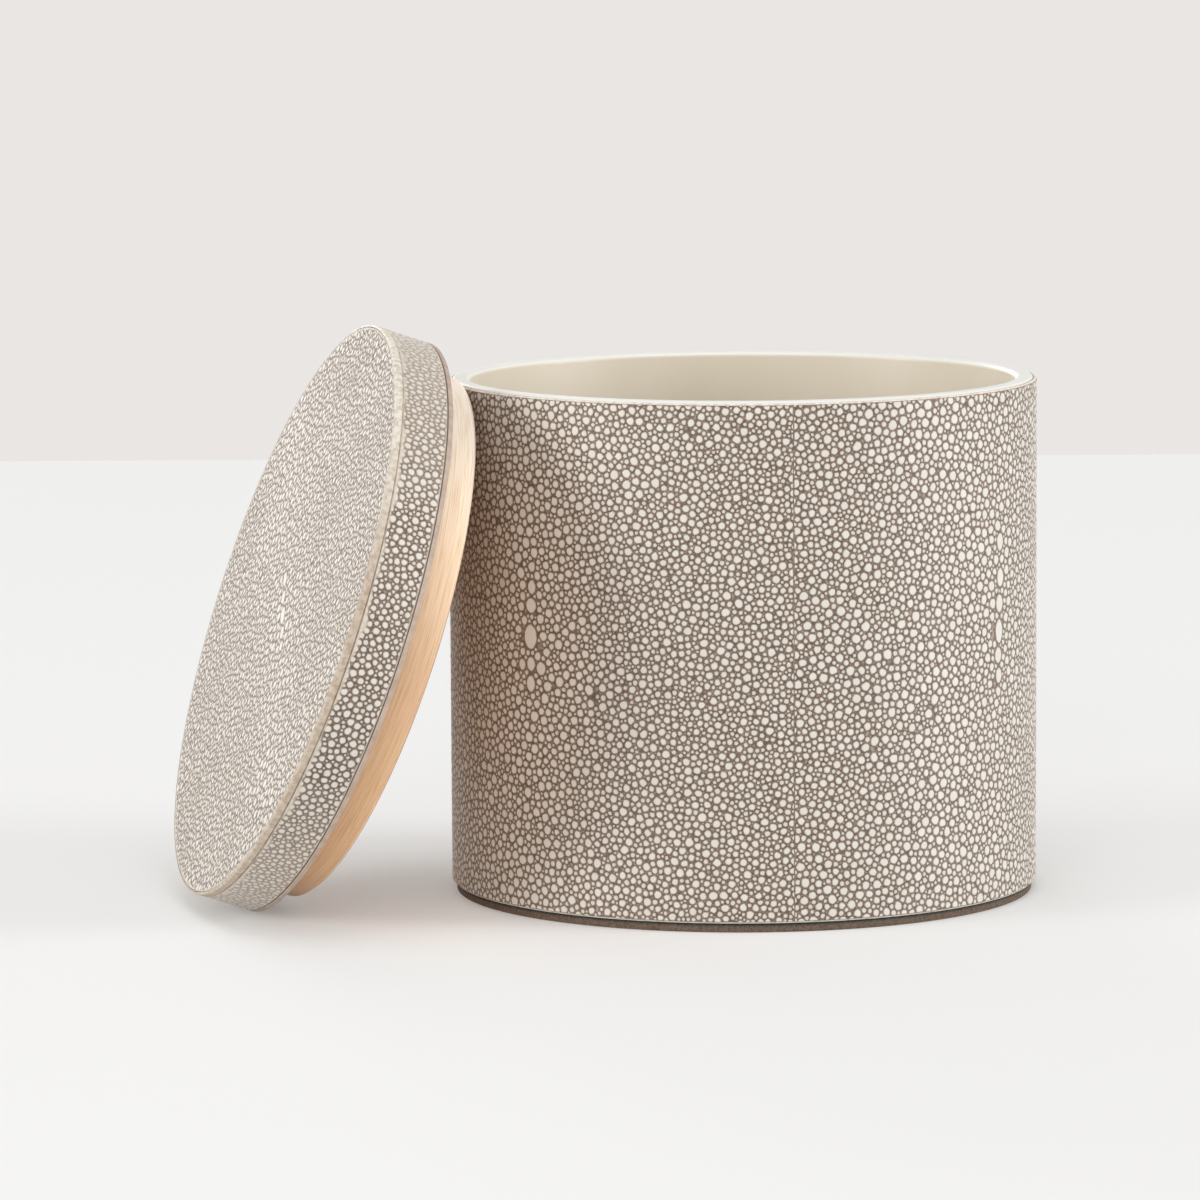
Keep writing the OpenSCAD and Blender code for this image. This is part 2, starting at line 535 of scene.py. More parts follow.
def grown_outlines(shape, crowd, taken, pearls, rng):
    """Each bead's outline, swollen into the room round it, and how wide the grout is at each point."""
    beads = np.array(crowd.beads)
    depth, inward = shape.depth(beads[:, :2])
    rings = [pearl_outline(*p) for p in pearls]
    owner = [-1] * len(pearls)
    radius = [min(p[2], p[3]) / 2 for p in pearls]
    for k in range(taken, len(beads)):
        if depth[k] > LEAST_SHOWN - beads[k, 2]:
            rings.append(bead_outline(*beads[k], depth[k], inward[k], rng))
            owner.append(k)
            radius.append(beads[k, 2])
    count = np.array([len(ring) for ring in rings])
    flat = np.concatenate(rings)
    own = np.repeat(owner, count)
    room = free_room(flat, own, crowd.beads)
    room[own < 0] = BEAD_GAP
    swell = np.clip((room - BEAD_GAP) / 2, 0, BEAD_GROWTH * np.repeat(radius, count))
    away = flat - np.concatenate([np.broadcast_to(ring.mean(0), ring.shape) for ring in rings])
    flat = flat + away / np.hypot(away[:, 0], away[:, 1])[:, None] * swell[:, None]
    wide = np.clip((room - 2 * swell - BEAD_GAP) / WIDE_GROUT, 0, 1)
    return shape.clamp(flat, OUTLINE_EDGE), count, np.array(radius), wide


def bead_tops(rings, starts, count, radius, pearls, rng):
    """The flat top of each bead: its ring of points, and how deep they lie under the leather's face."""
    tops = []
    depths = []
    for k, (s, n) in enumerate(zip(starts, count)):
        ring = rings[s:s + n]
        middle = ring.mean(0)
        away = ring - middle
        span = float(np.hypot(away[:, 0], away[:, 1]).mean())
        top = away * (1 - min(SLOPE, SLOPE_SHARE * span) / span)
        tilt = rng.normal(0, TOP_TILT, 2)
        low = TOP_DEPTH + SMALL_TOP_DEPTH * max(0.0, 1 - radius[k] / SMALL_TOP_R)
        if k < pearls:
            low = 0.0
            tilt = tilt * 0
        tops.append(middle + top)
        depths.append(np.maximum(low + top @ tilt, 0))
    return np.concatenate(tops), np.concatenate(depths)


def outline_edges(border, count):
    """The edges of the border and of the bead outlines that follow it, as pairs of points."""
    edges = [(k, (k + 1) % border) for k in range(border)]
    first = border
    for n in count.tolist():
        edges.extend((first + k - 1 if k else first + n - 1, first + k) for k in range(n))
        first += n
    return edges


def covered(tri, outlines, first, last):
    """Which points, from first to before last, have a triangle on the inner side of an outline."""
    ahead = np.full(tri.max() + 1, -1)
    ahead[outlines[:, 0]] = outlines[:, 1]
    inner = tri[(ahead[tri] == np.roll(tri, -1, 1)).any(1)]
    return np.unique(inner[(inner >= first) & (inner < last)]) - first


def grout_faces(border, rings, middles, count):
    """Triangles between the outlines. Middles under a bead go, and outlines that cross are drawn in."""
    edges = outline_edges(len(border), count)
    outlines = np.array(edges[len(border):])
    lines = np.sort(edges, 1)
    own = np.repeat(np.arange(len(count)), count)
    for _ in range(DRAW_IN_TRIES):
        points = np.concatenate([border, rings, middles])
        made = delaunay_2d_cdt([Vector(p) for p in points.tolist()], edges, [], 1, 1e-6)
        tri = np.array(made[2])
        under = covered(tri, outlines, len(border) + len(own), len(points))
        if len(under):
            middles = np.delete(middles, under, 0)
            continue
        sides = np.sort(np.concatenate([tri[:, :2], tri[:, 1:], tri[:, ::2]]), 1)
        lost = ~np.isin(lines @ (1, len(made[0])), sides @ (1, len(made[0])))
        lost[:len(border)] = False
        if not lost.any():
            break
        for k in np.unique(own[lines[lost] - len(border)]):
            middle = rings[own == k].mean(0)
            rings[own == k] = middle + (rings[own == k] - middle) * DRAW_IN
    ring_of = np.full(len(made[0]), -1)
    ring_of[len(border):len(border) + len(own)] = own
    a, b, c = ring_of[tri].T
    rising = (tri < np.roll(tri, -1, 1)).sum(1) == 2
    inside = (a >= 0) & (a == b) & (b == c) & rising
    return rings, middles, [tuple(t) for t in tri[~inside].tolist()]


def leather_front(shape, size_at, room_at, pearls, open_spots, seed, worn_and_lit_at):
    """The front of a piece of leather: its points, its faces and which of them are flat."""
    rng = np.random.default_rng(seed)
    crowd, taken = set_beads(shape, size_at, room_at, pearls, open_spots, rng)
    rings, count, radius, wide = grown_outlines(shape, crowd, taken, pearls, rng)
    border = shape.border()
    middles = np.concatenate([open_middles(crowd, shape), np.reshape(open_spots, (-1, 3))[:, :2]])
    rings, middles, grout = grout_faces(border, rings, middles, count)
    starts = (np.cumsum(count) - count).tolist()
    sides = count.tolist()
    tops, top_depth = bead_tops(rings, starts, sides, radius, len(pearls), rng)
    tone = np.repeat(rng.random(len(sides)), count)
    small = np.repeat(np.clip((SMALL_FROM - radius) / SMALL_RANGE, 0, 1), count)
    ground = GROUT_DEPTH + JUNCTION_DEPTH * wide
    outline = OUTLINE_RELIEF - WIDE_RELIEF_DROP * np.minimum(1, 3 * wide)
    points = joined([
        patch(border, depth=GROUT_DEPTH, relief=EDGE_RELIEF, tone=0.5),
        patch(rings, depth=ground, relief=outline, tone=tone, small=small),
        patch(middles, depth=GROUT_DEPTH * OPEN_DEPTH_SHARE, relief=-1.0),
        patch(tops, depth=top_depth, relief=1.0, tone=tone, small=small),
    ])
    points["worn"] = worn_and_lit_at(points["point"])
    points["depth"] = points["depth"] * (1 - WORN_FLAT * points["worn"])
    first_ring = len(border)
    first_top = len(border) + len(rings) + len(middles)
    quads = []
    caps = []
    for s, n in zip(starts, sides):
        low = [first_ring + s + k for k in range(n)]
        high = [first_top + s + k for k in range(n)]
        quads.extend((low[k - 1], low[k], high[k], high[k - 1]) for k in range(n))
        caps.append(tuple(high))
    flat = [False] * (len(grout) + len(quads)) + [True] * len(caps)
    return points, grout + quads + caps, flat


# Backs and edges of the leather

def in_row(row, s, t):
    """A place in the map's upper rows, which hold the edges and the back."""
    return s, MAP_ROWS + MAP_ROW_STEP * row + MAP_ROW_HEIGHT * t


def strip_back(shape, foot_slot):
    """The cut edges, ends and back of a strip: points, faces, and each face's material and map."""
    u = shape.columns()
    m = len(u)
    q = len(shape.rungs())
    count = 2 * (m + q)
    foot = list(range(m))
    far = list(range(m, m + q))
    top = list(range(m + q, 2 * m + q))[::-1]
    near = list(range(2 * m + q, count))[::-1]
    rows = (
        (shape.low - CUT_EDGE, CUT_DEPTH),
        (shape.low - CUT_EDGE, LEATHER_T),
        (shape.high + CUT_EDGE, LEATHER_T),
        (shape.high + CUT_EDGE, CUT_DEPTH),
    )
    points = joined([
        patch(np.stack([u, np.full(m, v)], 1), depth=depth, relief=EDGE_RELIEF) for v, depth in rows
    ])
    added = [list(range(count + k * m, count + (k + 1) * m)) for k in range(4)]
    chain = [foot, *added, top]
    faces = []
    maps = []
    for row, (low, high) in enumerate(zip(chain[:-1], chain[1:])):
        for k in range(m - 1):
            faces.append((low[k + 1], low[k], high[k], high[k + 1]))
            a, b = k / (m - 1), (k + 1) / (m - 1)
            maps.append([in_row(row, b, 0), in_row(row, a, 0), in_row(row, a, 1), in_row(row, b, 1)])
    outline = [(0, 0), (0, 0.6), (0.01, 1)] + [(v, 1) for v in np.linspace(0.02, 0.98, q)]
    outline += [(0.99, 1), (1, 0.6), (1, 0)]
    for end, side, row in ((0, near, 5), (-1, far, 6)):
        face = [added[1][end], added[0][end], foot[end], *side, top[end], added[3][end], added[2][end]]
        place = [in_row(row, s, t) for s, t in outline]
        faces.append(tuple(face[::-1] if end == 0 else face))
        maps.append(place[::-1] if end == 0 else place)
    slots = [foot_slot] * (m - 1) + [0] * 3 * (m - 1) + [1] * (m - 1) + [0, 0]
    return points, faces, slots, maps


def disc_back(shape):
    """The edge and the back of a round piece: points, faces, and each face's material and map."""
    border = shape.border()
    m = len(border)
    faces = []
    maps = []
    for k in range(m):
        ahead = (k + 1) % m
        faces.append((k, m + k, m + ahead, ahead))
        a, b = k / m, (k + 1) / m
        maps.append([in_row(0, a, 0), in_row(0, a, 1), in_row(0, b, 1), in_row(0, b, 0)])
    faces.append(tuple(range(2 * m - 1, m - 1, -1)))
    flat = border / shape.radius / 2 + 0.5
    maps.append([in_row(1, x, DISC_BACK_ROWS * y) for x, y in flat[::-1].tolist()])
    return patch(border, depth=LEATHER_T), faces, [0] * (m + 1), maps


# Making meshes

def new_piece(name, points, faces, flat, slots, materials):
    """A mesh object from points in millimetres."""
    mesh = bpy.data.meshes.new(name)
    mesh.from_pydata((np.asarray(points) * MM).tolist(), [], faces)
    mesh.polygons.foreach_set("use_smooth", np.logical_not(flat))
    mesh.polygons.foreach_set("material_index", np.asarray(slots, np.int32))
    for material in materials:
        mesh.materials.append(material)
    mesh.update()
    piece = bpy.data.objects.new(name, mesh)
    bpy.context.scene.collection.objects.link(piece)
    return piece


def lay_out(mesh, flat_points, low, size, maps):
    """The leather's map: its front as it lies flat, with its edges and back in rows above."""
    corner = np.empty(len(mesh.loops), np.int32)
    mesh.loops.foreach_get("vertex_index", corner)
    uv = (flat_points[corner] - low) / size * (1.0, MAP_FRONT)
    rest = [place for face in maps for place in face]
    uv[len(uv) - len(rest):] = rest
    layer = mesh.uv_layers.new(name="OFBake")
    layer.uv.foreach_set("vector", np.clip(uv, 0, 1).astype(np.float32).ravel())


def leather_piece(name, shape, front, back, to_space, materials):
    """One closed piece of leather, from its front and its back."""
    points, faces, flat = front
    more, more_faces, more_slots, maps = back
    m = len(shape.border())
    shift = len(points["point"]) - m
    both = joined([points, more])
    faces = faces + [tuple(k if k < m else k + shift for k in face) for face in more_faces]
    made = new_piece(
        name,
        to_space(both["point"], both["depth"]),
        faces,
        flat + [True] * len(more_faces),
        [0] * len(flat) + more_slots,
        materials,
    )
    for key in ("relief", "tone", "small", "worn"):
        layer = made.data.attributes.new(key, "FLOAT", "POINT")
        layer.data.foreach_set("value", both[key].astype(np.float32))
    low = both["point"].min(0)
    lay_out(made.data, both["point"], low, both["point"].max(0) - low, maps)
    return made


def wrapped(start, radius):
    """Lays a flat strip round a cylinder: U round it from start, V up."""
    def to_space(p, depth):
        turn = start + p[:, 0] / radius
        reach = radius - depth
        return np.stack([reach * np.cos(turn), reach * np.sin(turn), p[:, 1]], 1)
    return to_space


def laid_at(height):
    """Lays a flat piece at a height."""
    def to_space(p, depth):
        return np.stack([p[:, 0], p[:, 1], height - depth], 1)
    return to_space


def stands_for(piece, node, body):
    """Replaces a CAD node and moves with a body. The lid's pieces are made in the lid's frame."""
    if body == "lid":
        piece.data.transform(LID)
    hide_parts(node)
    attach(piece, body)


# The leather pieces

def no_wear(p):
    return np.zeros(len(p))


def panel_sizes(spine):
    """Bead radius over a panel: fair at its left seam, widest by the spine, small at its right seam."""
    def size_at(u, v):
        before = 0.77 + 0.22 * u / spine
        after = 0.72 + 0.27 * np.exp(-(u - spine) / 14)
        swell = 0.035 * np.sin(u / 7.1 + v / 9.3) + 0.03 * np.sin(v / 6.3 - u / 11)
        return np.where(u < spine, before, after) + swell
    return size_at


def panel_room(spine):
    """Least room between two big beads: tight by the spine, wider towards the seams."""
    def room_at(u, v):
        return 0.24 + 0.15 * np.clip(np.abs(u - spine) / 40, 0, 1)
    return room_at


def side_panel(node, pearls, open_spots, seed, materials):
    """One panel of the canister's wrap, its seams closed up to a hair."""
    start, sweep = stretch_round(vertices_of(node))
    reach = (SEAM_GAP - SEAM_SEEN) / 2
    wide = sweep * BODY_R + 2 * reach
    spine = math.radians(SPINE_ANGLE) * BODY_R
    shape = Strip(wide, LEATHER_FOOT + CUT_EDGE, LEATHER_TOP - CUT_EDGE)
    placed = [(spine + a, z, w, h, 0.0) for a, z, w, h in pearls]
    left_open = [(spine + a, z, r) for a, z, r in open_spots]
    front = leather_front(
        shape, panel_sizes(spine), panel_room(spine), placed, left_open, seed, no_wear
    )
    to_space = wrapped(start - reach / BODY_R, BODY_R)
    piece = leather_piece(node + "_shagreen", shape, front, strip_back(shape, 1), to_space, materials)
    stands_for(piece, node, "canister")


def aside_of_lid_spine(u, v):
    return np.abs(v * math.cos(LID_SPINE_TURN) - u * math.sin(LID_SPINE_TURN))


def disc_sizes(u, v):
    """Bead radius over the lid's disc: widest along its spine."""
    swell = 0.035 * np.sin(u / 7.7 + v / 8.9) + 0.03 * np.sin(v / 6.1 - u / 10)
    return 0.72 + 0.26 * np.exp(-aside_of_lid_spine(u, v) / 12) + swell


def disc_room(u, v):
    return 0.32 + 0.2 * np.clip(aside_of_lid_spine(u, v) / 40, 0, 1)


def disc_wear(p):
    """1 where the disc is rubbed and painted over beside the lid's edge."""
    return np.clip((np.hypot(p[:, 0], p[:, 1]) - (DISC_R - DISC_WORN)) / DISC_WORN, 0, 1)


def lid_disc(materials):
    shape = Disc(DISC_R)
    along = np.array([math.cos(LID_SPINE_TURN), math.sin(LID_SPINE_TURN)])
    across = np.array([-along[1], along[0]])
    placed = []
    for a, t, w, h in LID_PEARLS:
        x, y = along * t + across * (a + LID_SPINE_ASIDE)
        placed.append((x, y, w, h, LID_SPINE_TURN - math.pi / 2))
    front = leather_front(shape, disc_sizes, disc_room, placed, [], DISC_SEED, disc_wear)
    to_space = laid_at(LID_TOP)
    piece = leather_piece("lid_top_shagreen", shape, front, disc_back(shape), to_space, materials)
    stands_for(piece, "lid_top_leather", "lid")


def band_sizes(u, v):
    return 0.67 + 0.05 * np.sin(u / 9.1) + 0.02 * np.sin(v / 2.3 + u / 5)


def band_room(u, v):
    return np.full(len(u), 0.08)


def band_wear_and_light(p):
    """How far the band is painted over: in ragged strips along its edges. Where the band stands highest
    and lowest, up to half the pale paint comes in too, as painted light on these brighter-lit ends.
    """
    ragged = np.sin(p[:, 0] / 2.1) + np.sin(p[:, 0] / 0.83 + 1) + np.sin(p[:, 0] / 5.7 + 2)
    top = (p[:, 1] - (BAND_TOP - 1.0 - 0.24 * ragged)) / 0.5
    foot = (LINING_T + 0.55 - p[:, 1]) / 0.3
    upright = np.abs(np.cos(BAND_SEAM + p[:, 0] / BODY_R))
    # Painted light: pale paint mixed in where the band's highest and lowest sides catch more light
    lit_ends = 0.5 * np.clip((upright - 0.45) / 0.5, 0, 1)
    return np.clip(np.maximum(np.maximum(top, foot), lit_ends), 0, 1)


def lid_band(materials):
    wide = 2 * math.pi * BODY_R - SEAM_SEEN
    shape = Strip(wide, LINING_T + CUT_EDGE + 0.02, BAND_TOP - CUT_EDGE - 0.02)
    front = leather_front(shape, band_sizes, band_room, [], [], BAND_SEED, band_wear_and_light)
    to_space = wrapped(BAND_SEAM + SEAM_SEEN / 2 / BODY_R, BODY_R)
    back = strip_back(shape, 0)
    piece = leather_piece("lid_band_shagreen", shape, front, back, to_space, materials)
    stands_for(piece, "lid_band_leather", "lid")


# The turned pieces

def rounded(corners):
    """A profile's corners (radius, height, rounding) as points, with an arc for each rounding."""
    out = []
    count = len(corners)
    for k, (r, z, rounding) in enumerate(corners):
        here = np.array([r, z], float)
        if rounding <= 0:
            out.append(here)
            continue
        back = np.array(corners[k - 1][:2]) - here
        ahead = np.array(corners[(k + 1) % count][:2]) - here
        back /= np.linalg.norm(back)
        ahead /= np.linalg.norm(ahead)
        half = math.acos(float(back @ ahead)) / 2
        middle = here + (back + ahead) / np.linalg.norm(back + ahead) * rounding / math.sin(half)
        start = here + back * rounding / math.tan(half) - middle
        end = here + ahead * rounding / math.tan(half) - middle
        sweep = math.pi - 2 * half
        out.append(middle + start + back * ARC_SUPPORT)
        for s in np.linspace(0, 1, ARC_STEPS + 1):
            blend = math.sin((1 - s) * sweep) * start + math.sin(s * sweep) * end
            out.append(middle + blend / math.sin(sweep))
        out.append(middle + end + ahead * ARC_SUPPORT)
    return np.array(out)


def lathe(name, profile, materials, slot_at=None):
    """Turns a profile round Z, drawn from foot to top on its outer side. It may end on the axis."""
    turn = np.arange(LATHE_STEPS) * 2 * math.pi / LATHE_STEPS
    rows = []
    points = []
    for r, z in profile.tolist():
        first = len(points)
        if r < 1e-6:
            points.append((0.0, 0.0, z))
            rows.append([first] * LATHE_STEPS)
        else:
            points.extend((r * math.cos(t), r * math.sin(t), z) for t in turn)
            rows.append(list(range(first, first + LATHE_STEPS)))
    faces = []
    slots = []
    for j in range(len(rows)):
        ahead = (j + 1) % len(rows)
        low, high = rows[j], rows[ahead]
        if low[0] == low[1] and high[0] == high[1]:
            continue
        slot = slot_at(*(profile[j] + profile[ahead]) / 2) if slot_at else 0
        for i in range(LATHE_STEPS):
            k = (i + 1) % LATHE_STEPS
            faces.append(tuple(dict.fromkeys((low[i], low[k], high[k], high[i]))))
            slots.append(slot)
    return new_piece(name, points, faces, [False] * len(faces), slots, materials)


def wall_tube(materials):
    profile = rounded([
        (TUBE_R, PAD_TOP, 0.15),
        (TUBE_R, RIM_TOP, RIM_OUTER_ROUND),
        (BORE_R, RIM_TOP, RIM_INNER_ROUND),
        (BORE_R, FLOOR_TOP, 0.1),
        (SHOULDER_R, FLOOR_TOP, 0.1),
        (SHOULDER_R, PAD_TOP, 0.15),
    ])

    def slot_at(r, z):
        return 1 if r < BORE_R + 0.2 and z < RIM_TOP - 0.6 else 0

    tube = lathe("wall_tube_lacquered", profile, materials, slot_at)
    stands_for(tube, "wall_tube", "canister")


def floor_board(materials):
    profile = rounded([
        (0, PAD_TOP, 0),
        (FLOOR_R, PAD_TOP, 0.3),
        (FLOOR_R, FLOOR_TOP, 0.3),
        (0, FLOOR_TOP, 0),
    ])
    board = lathe("floor_board_lacquered", profile, materials)
    stands_for(board, "floor_board", "canister")


def base_pad(materials):
    profile = rounded([
        (0, 0, 0),
        (PAD_R, 0, 0.25),
        (PAD_R, PAD_TOP, 0.25),
        (0, PAD_TOP, 0),
    ])
    stands_for(lathe("base_pad_felt", profile, materials), "base_pad", "canister")


def lid_board(materials):
    board_r = BODY_R - LEATHER_T - GLUE_GAP
    profile = rounded([
        (0, LINING_T, 0),
        (board_r, LINING_T, 0.1),
        (board_r, BAND_TOP, 0),
        (BODY_R, BAND_TOP, 0.05),
        (BODY_R, LID_TOP, LID_EDGE_ROUND),
        (DISC_R + GLUE_GAP, LID_TOP, 0.02),
        (DISC_R + GLUE_GAP, DISC_BED, 0.05),
        (0, DISC_BED, 0),
    ])
    stands_for(lathe("lid_board_painted", profile, materials), "lid_board", "lid")


def lid_lining(materials):
    inner = PLUG_R + GLUE_GAP
    profile = rounded([
        (inner, 0, 0.1),
        (BODY_R, 0, 0.25),
        (BODY_R, LINING_T, 0.1),
        (inner, LINING_T, 0.1),
    ])
    stands_for(lathe("lid_lining_skin", profile, materials), "lid_lining_ring", "lid")


def lid_plug(materials):
    """The plug, with its side, its end face and the dark edge between them."""
    edge = PLUG_R - PLUG_CHAMFER
    profile = rounded([
        (0, PLUG_END, 0),
        (edge, PLUG_END, 0.2),
        (PLUG_R, PLUG_END + PLUG_CHAMFER, 0.3),
        (PLUG_R, LINING_T, 0.1),
        (0, LINING_T, 0),
    ])

    def slot_at(r, z):
        if z < PLUG_END + 0.001:
            return 1
        return 2 if z < PLUG_END + 0.1 else 0

    stands_for(lathe("lid_plug_birch", profile, materials, slot_at), "lid_plug", "lid")


# Materials

def rgb(r, g, b):
    """A colour as seen, from 0 to 255, as the linear one that a shader takes."""
    parts = [c / 255 for c in (r, g, b)]
    return tuple(c / 12.92 if c <= 0.04 else ((c + 0.055) / 1.055) ** 2.4 for c in parts) + (1.0,)


class Nodes:
    """Makes a material's nodes, each linked as it is made."""

    def __init__(self, name):
        self.material = bpy.data.materials.new(name)
        self.material.use_nodes = True
        self.tree = self.material.node_tree
        self.shader = self.tree.nodes["Principled BSDF"]

    def put(self, node, socket, value):
        if isinstance(value, bpy.types.NodeSocket):
            self.tree.links.new(value, node.inputs[socket])
        else:
            node.inputs[socket].default_value = value

    def make(self, kind, inputs=(), **settings):
        node = self.tree.nodes.new(kind)
        for key, value in settings.items():
            setattr(node, key, value)
        for socket, value in dict(inputs).items():
            self.put(node, socket, value)
        return node

    def attribute(self, name):
        return self.make("ShaderNodeAttribute", attribute_name=name).outputs["Fac"]

    def math(self, operation, a, b=0.0, c=0.0, clamp=False):
        inputs = {0: a, 1: b, 2: c}
        return self.make("ShaderNodeMath", inputs, operation=operation, use_clamp=clamp).outputs[0]

    def mix(self, fac, a, b, blend="MIX"):
        node = self.make("ShaderNodeMix", data_type="RGBA", blend_type=blend)
        for socket, value in ((0, fac), (6, a), (7, b)):
            self.put(node, socket, value)
        return node.outputs[2]

    def ramp(self, fac, *stops):
        node = self.make("ShaderNodeValToRGB", {"Fac": fac})
        ends = node.color_ramp.elements
        while len(ends) < len(stops):
            ends.new(0.5)
        for end, (position, colour) in zip(ends, stops):
            end.position = position
            end.color = colour
        return node.outputs["Color"]

    def noise(self, scale, detail=2.0, vector=None):
        place = self.place() if vector is None else vector
        inputs = {"Vector": place, "Scale": scale, "Detail": detail}
        return self.make("ShaderNodeTexNoise", inputs).outputs["Fac"]

    def place(self):
        return self.make("ShaderNodeTexCoord").outputs["Object"]

    def in_lid(self):
        """The place in the lid's own frame."""
        back = LID.inverted()
        turn = tuple(back.to_euler())
        inputs = {"Vector": self.place(), "Location": back.translation, "Rotation": turn}
        return self.make("ShaderNodeMapping", inputs).outputs[0]

    def split(self, vector):
        return self.make("ShaderNodeSeparateXYZ", {"Vector": vector}).outputs

    def bump(self, height, distance, strength):
        inputs = {"Height": height, "Distance": distance, "Strength": strength}
        node = self.make("ShaderNodeBump", inputs)
        self.put(self.shader, "Normal", node.outputs[0])

    def finish(self, colour, roughness, specular=0.5, sheen=0.0):
        self.put(self.shader, "Base Color", colour)
        self.put(self.shader, "Roughness", roughness)
        self.shader.inputs["Specular IOR Level"].default_value = specular
        self.shader.inputs["Sheen Weight"].default_value = sheen
        return self.material


def shagreen():
    """Pale bead tops, a dark line round each bead, and a lighter grout where it lies open."""
    n = Nodes("shagreen")
    relief = n.math("MULTIPLY_ADD", n.attribute("relief"), 0.5, 0.5)
    # From open grout through the dark line at each bead's foot to its top: the dark line and the greyer
    # bead shoulders are partly the leather's own dark grout and partly painted shade of the creases
    # between beads
    ground = n.ramp(
        relief,
        (0.0, rgb(168, 152, 138)),
        (0.3, rgb(148, 132, 118)),
        (0.5, rgb(104, 87, 75)),
        (0.64, rgb(113, 96, 83)),
        (0.73, rgb(158, 143, 130)),
        (0.87, rgb(197, 187, 176)),
    )
    stain = n.ramp(n.noise(1400, 3), (0.35, rgb(200, 193, 188)), (0.6, rgb(255, 255, 255)))
    stained = n.mix(1.0, ground, stain, "MULTIPLY")
    tops = n.mix(n.attribute("small"), rgb(218, 215, 207), rgb(202, 193, 182))
    tops = n.mix(n.math("MULTIPLY", n.attribute("tone"), 0.3), tops, rgb(205, 195, 184))
    is_top = n.ramp(relief, (0.86, (0, 0, 0, 1)), (1.0, (1, 1, 1, 1)))
    leather = n.mix(is_top, stained, tops)
    # Edge paint where the leather is rubbed and painted over; on the band's highest and lowest sides
    # the same pale colour is painted light
    paint = n.mix(n.noise(300, 2), rgb(203, 191, 176), rgb(215, 204, 190))
    covered = n.mix(n.math("MULTIPLY", n.attribute("worn"), 0.88), leather, paint)
    colour = n.mix(n.math("MULTIPLY", n.noise(70, 3), 0.1), covered, rgb(150, 136, 124))
    n.bump(n.noise(5200, 2), 0.00002, 0.4)
    return n.finish(colour, n.math("MULTIPLY_ADD", relief, -0.22, 0.66), 0.45, 0.22)


def cut_edge():
    """The pale fibres where the leather is cut."""
    n = Nodes("leather_cut_edge")
    fibre = n.noise(900, 4)
    shade = n.ramp(fibre, (0.3, rgb(196, 184, 168)), (0.6, rgb(232, 224, 212)))
    n.bump(fibre, 0.0001, 0.5)
    return n.finish(shade, 0.75)


def ivory_lacquer(name, deep, pale):
    n = Nodes(name)
    shade = n.ramp(n.noise(35, 3), (0.3, deep), (0.7, pale))
    n.bump(n.noise(700, 2), 0.00003, 0.25)
    return n.finish(shade, n.math("MULTIPLY_ADD", n.noise(400, 3), 0.12, 0.36))


def dark_felt():
    n = Nodes("dark_felt")
    fibre = n.noise(1800, 5)
    dark = n.ramp(fibre, (0.3, rgb(22, 34, 36)), (0.7, rgb(46, 60, 62)))
    brown = n.ramp(fibre, (0.3, rgb(84, 70, 58)), (0.7, rgb(122, 104, 88)))
    upper = n.math("SUBTRACT", n.split(n.place())[2], 0.55 * PAD_TOP * MM)
    shade = n.mix(n.math("MULTIPLY", upper, 1800, clamp=True), brown, dark)
    n.bump(fibre, 0.0003, 0.8)
    return n.finish(shade, 0.95)


def painted_edge():
    """Edge paint with painted light: palest on the side that stands highest, where light from above
    falls, and darker down the lid.
    """
    n = Nodes("painted_edge")
    share = n.math("MULTIPLY_ADD", n.split(n.in_lid())[0], 0.5 / (BODY_R * MM), 0.5)
    ground = n.ramp(
        share,
        (0.1, rgb(224, 218, 207)),
        (0.41, rgb(190, 175, 159)),
        (0.66, rgb(198, 184, 168)),
    )
    rubbed = n.ramp(n.noise(900, 5), (0.36, rgb(222, 215, 206)), (0.6, rgb(255, 255, 255)))
    shade = n.mix(1.0, ground, rubbed, "MULTIPLY")
    n.bump(n.noise(900, 4), 0.00008, 0.5)
    return n.finish(shade, 0.55)


def lining():
    n = Nodes("lining")
    shade = n.ramp(n.noise(500, 4), (0.3, rgb(166, 148, 134)), (0.7, rgb(190, 172, 157)))
    n.bump(n.noise(2200, 3), 0.00008, 0.5)
    return n.finish(shade, 0.7)


def birch(n, grain, fine, broad, ground):
    """Birch with fine lines and broad bands along its grain, over a ground colour."""
    thread = n.noise(fine, 4, grain)
    lines = n.ramp(thread, (0.32, rgb(226, 210, 192)), (0.55, rgb(255, 255, 255)))
    bands = n.ramp(n.noise(broad, 3, grain), (0.3, rgb(244, 238, 232)), (0.7, rgb(255, 255, 255)))
    n.bump(thread, 0.00003, 0.3)
    return n.finish(n.mix(0.8, n.mix(1.0, ground, bands, "MULTIPLY"), lines, "MULTIPLY"), 0.4, 0.6, 0.3)


def round_the_plug(n):
    """Coordinates along the grain, which runs round the plug, and across it."""
    x, y, z = n.split(n.in_lid())
    along = n.math("MULTIPLY", n.math("ARCTAN2", y, x), 0.025 * PLUG_R * MM)
    return n.make("ShaderNodeCombineXYZ", {0: along, 1: z}).outputs[0]


def birch_side():
    """Birch with painted light: palest on the side of the plug that stands highest, where light from
    above falls, and browner and warmer down its sides as painted shade.
    """
    n = Nodes("birch_side")
    share = n.math("MULTIPLY_ADD", n.split(n.in_lid())[0], 0.5 / (PLUG_R * MM), 0.5)
    ground = n.ramp(
        share,
        (0.08, rgb(255, 243, 226)),
        (0.3, rgb(242, 216, 186)),
        (0.5, rgb(224, 188, 152)),
        (0.95, rgb(230, 186, 138)),
    )
    return birch(n, round_the_plug(n), 3800, 420, ground)


